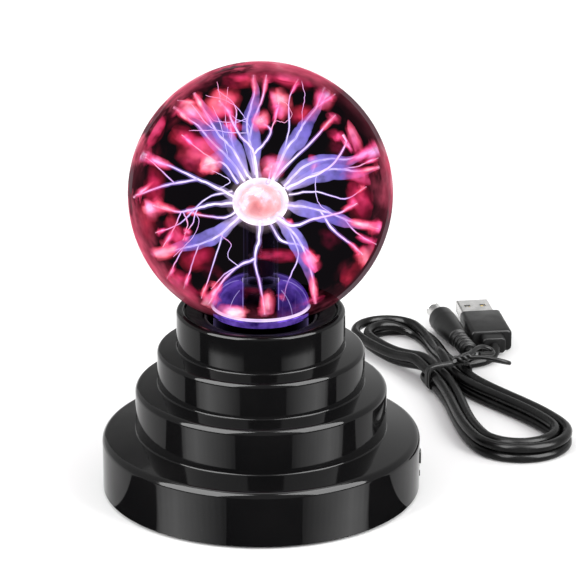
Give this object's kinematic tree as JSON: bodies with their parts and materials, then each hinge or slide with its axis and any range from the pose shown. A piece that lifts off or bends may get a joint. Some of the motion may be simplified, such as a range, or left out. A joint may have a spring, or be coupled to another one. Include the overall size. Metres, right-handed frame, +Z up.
{
  "type": "plasma ball",
  "caption": "Clear glass plasma globe on a stepped round gloss-black base with a slide switch and DC socket, its USB power lead tied in a hank beside it.",
  "frame": {"origin": "centre of the base on the surface it stands on", "axes": "+Z up through the globe's centre; +X towards the slide switch and the DC socket; -Y towards the viewer"},
  "size_m": [0.1559, 0.2089, 0.1415],
  "materials": {
    "housing_gloss": "high-gloss black moulding",
    "matt_black": "fine matt black",
    "rubber_black": "matt rubber",
    "clear_glass": "clear, polished",
    "steel": "zinc-plated",
    "plug_nickel": "bright nickel plate",
    "aluminium_sink": "mill finish",
    "electrode_steel": "steel wool, lit pink by the discharge",
    "copper_wire": "enamelled copper",
    "circuit_green": "green solder mask",
    "ferrite_grey": "sintered ferrite",
    "yellow_tape": "polyester tape",
    "resistor_tan": "lacquered",
    "film_red": "dipped epoxy",
    "sleeve_blue": "shrink sleeve",
    "nylon_white": "natural nylon",
    "lead_red": "silicone-insulated wire",
    "silicone_clear": "translucent silicone",
    "cord_black": "satin PVC jacket",
    "plug_black": "satin PVC overmould",
    "plasma_glow": "glowing gas"
  },
  "bodies": {
    "base": {"base_housing": "housing_gloss", "board_screw_1": "steel", "board_screw_2": "steel", "board_screw_3": "steel", "bottom_cover": "matt_black", "circuit_board": "circuit_green", "coil_bobbin": "nylon_white", "cord_hank": "cord_black", "cord_lead_dc": "cord_black", "cord_lead_usb": "cord_black", "core_half_lower": "ferrite_grey", "core_half_upper": "ferrite_grey", "cover_screw_1": "steel", "cover_screw_2": "steel", "cover_screw_3": "steel", "cover_screw_4": "steel", "dc_plug_barrel": "plug_nickel", "dc_plug_insulator": "matt_black", "dc_plug_overmould": "plug_black", "electrode_rod": "steel", "electrode_wool": "electrode_steel", "electrolytic_capacitor_1": "sleeve_blue", "electrolytic_capacitor_2": "sleeve_blue", "exhaust_tip": "clear_glass", "film_capacitor": "film_red", "glass_globe": "clear_glass", "glass_stem": "clear_glass", "globe_seat": "matt_black", "hank_tie": "cord_black", "heat_sink": "aluminium_sink", "heat_sink_screw": "steel", "high_voltage_lead": "lead_red", "power_transistor": "matt_black", "primary_winding": "copper_wire", "resistor_1": "resistor_tan", "resistor_2": "resistor_tan", "rubber_foot_1": "rubber_black", "rubber_foot_2": "rubber_black", "rubber_foot_3": "rubber_black", "rubber_foot_4": "rubber_black", "seat_cushion_ring": "rubber_black", "secondary_winding": "yellow_tape", "slide_switch_body": "matt_black", "socket_contact": "plug_nickel", "socket_housing": "matt_black", "socket_pin": "plug_nickel", "stem_bung": "silicone_clear", "usb_plug_overmould": "plug_black", "usb_plug_shell": "plug_nickel", "usb_plug_tongue": "nylon_white"},
    "switch_knob": {"slide_switch_knob": "matt_black"}
  },
  "joints": [
    {"name": "switch_slide", "type": "slide", "parent": "base", "child": "switch_knob", "axis": [0, 1, 0], "range_m": [0, 0.004]}
  ]
}
